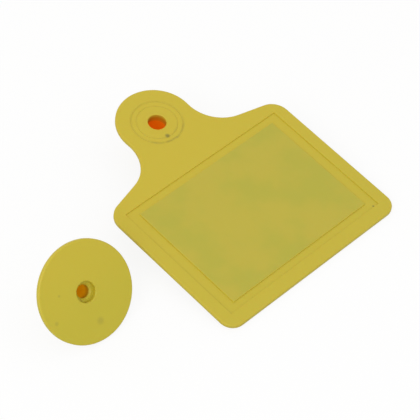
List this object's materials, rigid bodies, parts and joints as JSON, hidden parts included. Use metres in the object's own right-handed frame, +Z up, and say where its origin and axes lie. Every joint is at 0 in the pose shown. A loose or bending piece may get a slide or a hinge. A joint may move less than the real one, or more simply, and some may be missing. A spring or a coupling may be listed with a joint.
{
  "type": "livestock ear tag",
  "caption": "Yellow plastic livestock ear tag taken apart: flag panel with a framed writing field and a closed socket under its head, beside its button with a hollow barbed stud.",
  "frame": {"origin": "on the floor, under the middle of the common bounding box of the panel and the button", "axes": "+X across the flag's width, +Y from the flag's bottom edge towards its head, +Z up"},
  "size_m": [0.111, 0.0804, 0.0254],
  "materials": {
    "tag_plastic": "satin, slightly translucent soft yellow plastic",
    "tip_metal": "turned, dull"
  },
  "bodies": {
    "root": {"tag_panel": "tag_plastic", "male_button": "tag_plastic", "stud_tip": "tip_metal"}
  },
  "joints": []
}
